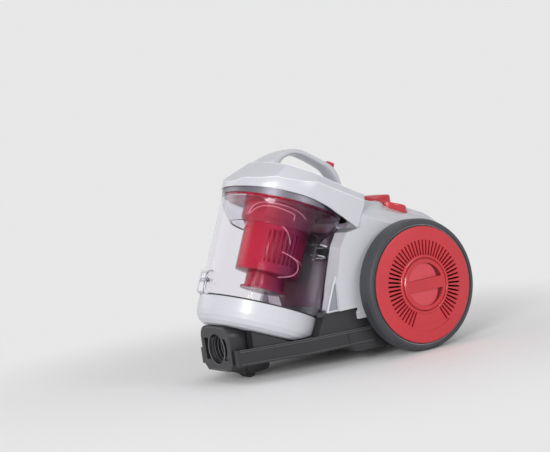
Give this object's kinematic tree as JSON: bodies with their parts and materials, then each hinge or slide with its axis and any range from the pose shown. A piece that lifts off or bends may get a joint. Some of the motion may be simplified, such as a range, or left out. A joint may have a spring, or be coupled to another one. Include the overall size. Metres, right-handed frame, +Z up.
{
  "type": "canister vacuum cleaner",
  "caption": "Bagless canister vacuum cleaner: clear tilted dust bin with lid and carrying handle, large side wheels with slotted exhaust covers, foot pedals, hose port and front caster.",
  "frame": {"origin": "middle of the footprint on the floor", "axes": "+Z up, the hose port faces -Y, left is -X and right is +X, wheels turn about X"},
  "size_m": [0.271, 0.3721, 0.3047],
  "materials": {
    "shell_white": "satin moulded shell",
    "accent_red": "gloss moulded cover",
    "charcoal": "fine grained moulding",
    "tyre_rubber": "soft rubber",
    "rim_grey": "satin grey",
    "clear": "clear moulded bin",
    "core_red": "translucent red",
    "silver_trim": "silver lacquer",
    "seal_black": "soft seal",
    "filter_foam": "pleated filter paper",
    "exhaust_foam": "dark open-cell foam",
    "steel": "turned steel",
    "motor_steel": "pressed steel",
    "reel_plastic": "moulded reel",
    "board_green": "circuit board"
  },
  "bodies": {
    "body": {"body_shell": "shell_white", "cord_outlet": "charcoal", "chassis_base": "charcoal", "chassis_deck": "charcoal", "hose_port": "charcoal", "inlet_duct": "charcoal", "wheel_drum_left": "rim_grey", "wheel_drum_right": "rim_grey", "exhaust_filter_left": "exhaust_foam", "exhaust_filter_right": "exhaust_foam", "motor_can": "motor_steel", "fan_cover": "motor_steel", "motor_bearing_rear": "steel", "motor_bearing_front": "steel", "motor_cradle": "charcoal", "motor_mount_rear": "seal_black", "motor_mount_front": "seal_black", "reel_frame": "reel_plastic", "pedal_bracket": "reel_plastic", "power_spring": "steel", "rewind_spring": "steel", "power_switch": "seal_black", "circuit_board": "board_green"},
    "rotor": {"motor_shaft": "steel", "fan_impeller": "steel"},
    "reel": {"cord_reel": "reel_plastic"},
    "wheel_left": {"tyre_left": "tyre_rubber", "wheel_rim_left": "rim_grey"},
    "wheel_right": {"tyre_right": "tyre_rubber", "wheel_rim_right": "rim_grey"},
    "cover_left": {"exhaust_grille_left": "accent_red"},
    "cover_right": {"exhaust_grille_right": "accent_red"},
    "knob_left": {"grille_knob_left": "accent_red"},
    "knob_right": {"grille_knob_right": "accent_red"},
    "power_button": {"power_pedal": "accent_red"},
    "rewind_button": {"rewind_pedal": "accent_red"},
    "caster_swivel": {"caster_fork": "charcoal", "caster_axle": "steel"},
    "caster_wheel": {"caster_roller": "seal_black"},
    "bin": {"bin_tank": "clear", "inlet_guide": "clear", "flap_seal": "seal_black", "cyclone_shroud": "core_red", "cyclone_crown": "core_red", "cyclone_neck": "core_red", "pre_motor_filter": "filter_foam", "flap_hinge_pin": "steel", "latch_pin": "steel", "bin_lid": "shell_white", "lid_trim_ring": "silver_trim", "carry_handle": "shell_white", "release_spring": "steel"},
    "flap": {"bottom_flap": "shell_white"},
    "latch": {"flap_latch": "shell_white"},
    "release": {"release_button": "accent_red"}
  },
  "joints": [
    {"name": "wheel_left_spin", "type": "hinge", "parent": "body", "child": "wheel_left", "pos_m": [-0.1165, 0.094, 0.092], "axis": [-1, 0, 0], "continuous": true},
    {"name": "wheel_right_spin", "type": "hinge", "parent": "body", "child": "wheel_right", "pos_m": [0.1165, 0.094, 0.092], "axis": [1, 0, 0], "continuous": true},
    {"name": "cover_left_pull", "type": "slide", "parent": "body", "child": "cover_left", "axis": [-1, 0, 0], "range_m": [0, 0.05]},
    {"name": "cover_right_pull", "type": "slide", "parent": "body", "child": "cover_right", "axis": [1, 0, 0], "range_m": [0, 0.05]},
    {"name": "knob_left_turn", "type": "hinge", "parent": "cover_left", "child": "knob_left", "pos_m": [-0.1335, 0.094, 0.092], "axis": [-1, 0, 0], "range_deg": [0, 90]},
    {"name": "knob_right_turn", "type": "hinge", "parent": "cover_right", "child": "knob_right", "pos_m": [0.1335, 0.094, 0.092], "axis": [1, 0, 0], "range_deg": [0, 90]},
    {"name": "power_press", "type": "slide", "parent": "body", "child": "power_button", "axis": [0, 0, -1], "range_m": [0, 0.004], "stiffness_N_per_m": 900, "springref_m": -0.003, "deforming": ["power_spring"]},
    {"name": "rewind_press", "type": "slide", "parent": "body", "child": "rewind_button", "axis": [0, 0, -1], "range_m": [0, 0.004], "stiffness_N_per_m": 900, "springref_m": -0.003, "deforming": ["rewind_spring"]},
    {"name": "caster_turn", "type": "hinge", "parent": "body", "child": "caster_swivel", "pos_m": [0, -0.122, 0.02], "axis": [0, 0, 1], "continuous": true},
    {"name": "caster_roll", "type": "hinge", "parent": "caster_swivel", "child": "caster_wheel", "pos_m": [0, -0.13, 0.01], "axis": [1, 0, 0], "continuous": true},
    {"name": "bin_lift", "type": "slide", "parent": "body", "child": "bin", "axis": [0, 0, 1], "range_m": [0, 0.28]},
    {"name": "flap_open", "type": "hinge", "parent": "bin", "child": "flap", "pos_m": [0, -0.02587, 0.05521], "axis": [1, 0, 0], "range_deg": [0, 60.2]},
    {"name": "latch_press", "type": "hinge", "parent": "bin", "child": "latch", "pos_m": [0, -0.17335, 0.14343], "axis": [-1, 0, 0], "range_deg": [0, 12], "stiffness_Nm_per_rad": 0.15, "springref_deg": -17.19},
    {"name": "release_press", "type": "slide", "parent": "bin", "child": "release", "axis": [0, -0.4019, -0.9157], "range_m": [0, 0.0025], "stiffness_N_per_m": 500, "springref_m": -0.002},
    {"name": "motor_spin", "type": "hinge", "parent": "body", "child": "rotor", "pos_m": [0, 0.11, 0.115], "axis": [1, 0, 0], "continuous": true},
    {"name": "reel_spin", "type": "hinge", "parent": "body", "child": "reel", "pos_m": [0.064, 0.11, 0.115], "axis": [1, 0, 0], "continuous": true}
  ],
  "couplings": [
    {"joint": "flap_open", "follows": "bin_lift", "rad_per_m": 3.74}
  ]
}
